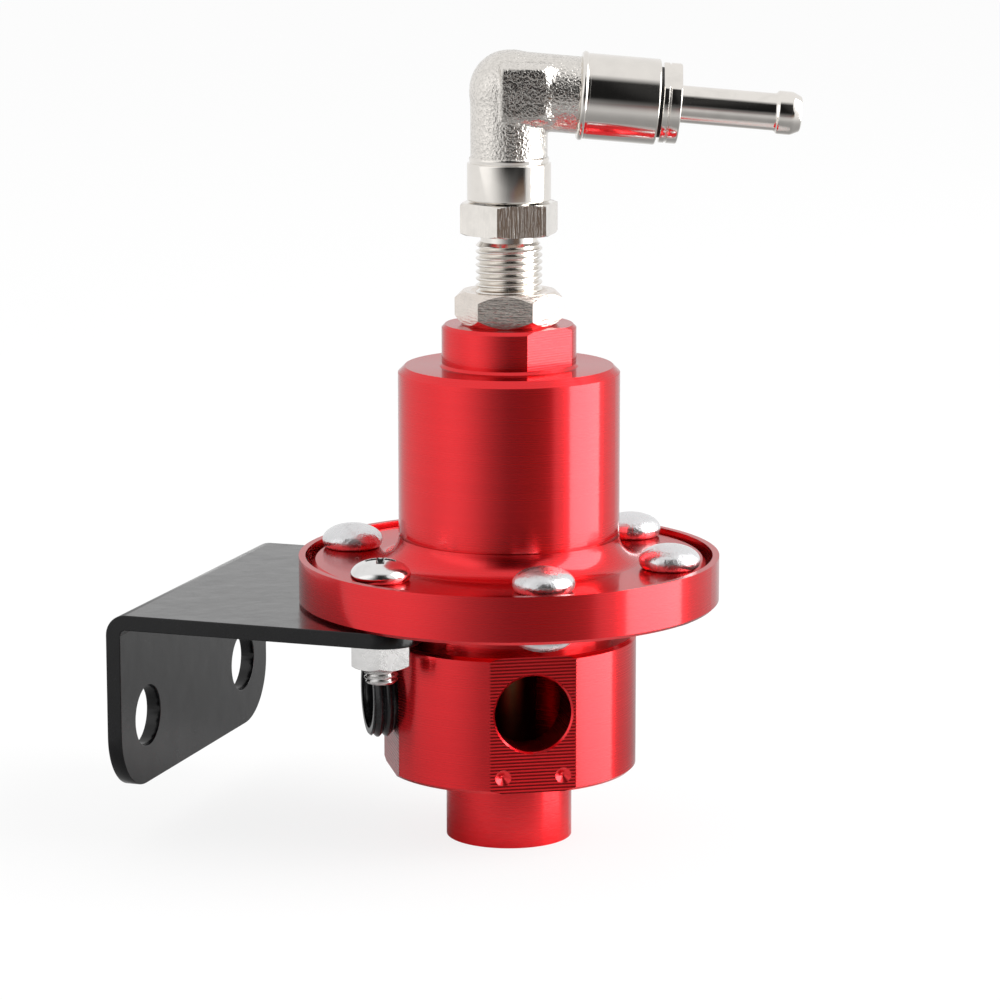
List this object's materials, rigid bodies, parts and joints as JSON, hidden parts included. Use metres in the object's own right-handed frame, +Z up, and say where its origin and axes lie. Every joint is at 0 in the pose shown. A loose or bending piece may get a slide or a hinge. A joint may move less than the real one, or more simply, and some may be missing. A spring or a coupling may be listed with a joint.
{
  "type": "fuel pressure regulator",
  "caption": "Round anodised fuel pressure regulator with riveted flange, side and bottom ports, adjusting stem with lock nut, swivelling vacuum elbow and a folded steel bracket.",
  "frame": {"origin": "centre of the boss face, at the mouth of the return port", "axes": "+Z up the body axis to the elbow, -X out of the bracket's upright leg"},
  "size_m": [0.0943, 0.0628, 0.1182],
  "materials": {
    "red_anodised": "glossy red anodised, finely turned",
    "nickel_plate": "bright nickel plate",
    "zinc_plate": "bright zinc plate",
    "rivet_aluminium": "satin with scuffs",
    "seat_brass": "turned",
    "spring_steel": "plain wire",
    "black_paint": "satin black paint",
    "rubber": "matt",
    "plug_plastic": "glossy black"
  },
  "bodies": {
    "housing": {"lower_body": "red_anodised", "bonnet": "red_anodised", "diaphragm": "rubber", "return_seat": "seat_brass", "stem_seal": "rubber", "flange_rivets": "rivet_aluminium", "bracket_screws": "zinc_plate", "bracket_nuts": "zinc_plate", "mounting_bracket": "black_paint", "port_plug": "plug_plastic"},
    "valve": {"valve_holder": "nickel_plate", "valve_disc": "spring_steel", "spring_cup": "nickel_plate", "stud_nut": "zinc_plate", "main_spring": "spring_steel"},
    "seat_plate": {"spring_seat": "nickel_plate"},
    "adjuster": {"adjusting_stem": "nickel_plate"},
    "elbow": {"swivel_elbow": "nickel_plate", "swivel_seal": "rubber", "swivel_clip": "spring_steel", "hose_barb": "nickel_plate", "barb_seal": "rubber"},
    "jam_nut": {"lock_nut": "nickel_plate"}
  },
  "joints": [
    {"name": "valve_lift", "type": "slide", "parent": "housing", "child": "valve", "axis": [0, 0, 1], "range_m": [0, 0.0008], "stiffness_N_per_m": 2000, "springref_m": -0.002, "deforming": ["diaphragm", "main_spring"]},
    {"name": "stem_travel", "type": "slide", "parent": "housing", "child": "seat_plate", "axis": [0, 0, 1], "range_m": [-0.003, 0.003], "deforming": ["main_spring"]},
    {"name": "stem_turn", "type": "hinge", "parent": "seat_plate", "child": "adjuster", "pos_m": [0, 0, 0.0912], "axis": [0, 0, 1], "range_deg": [-1080, 1080]},
    {"name": "elbow_swivel", "type": "hinge", "parent": "seat_plate", "child": "elbow", "pos_m": [0, 0, 0.0961], "axis": [0, 0, 1], "continuous": true},
    {"name": "lock_nut_turn", "type": "hinge", "parent": "housing", "child": "jam_nut", "pos_m": [0, 0, 0.0778], "axis": [0, 0, 1], "range_deg": [0, 60]}
  ],
  "couplings": [
    {"joint": "stem_turn", "follows": "stem_travel", "rad_per_m": 6283.2}
  ]
}
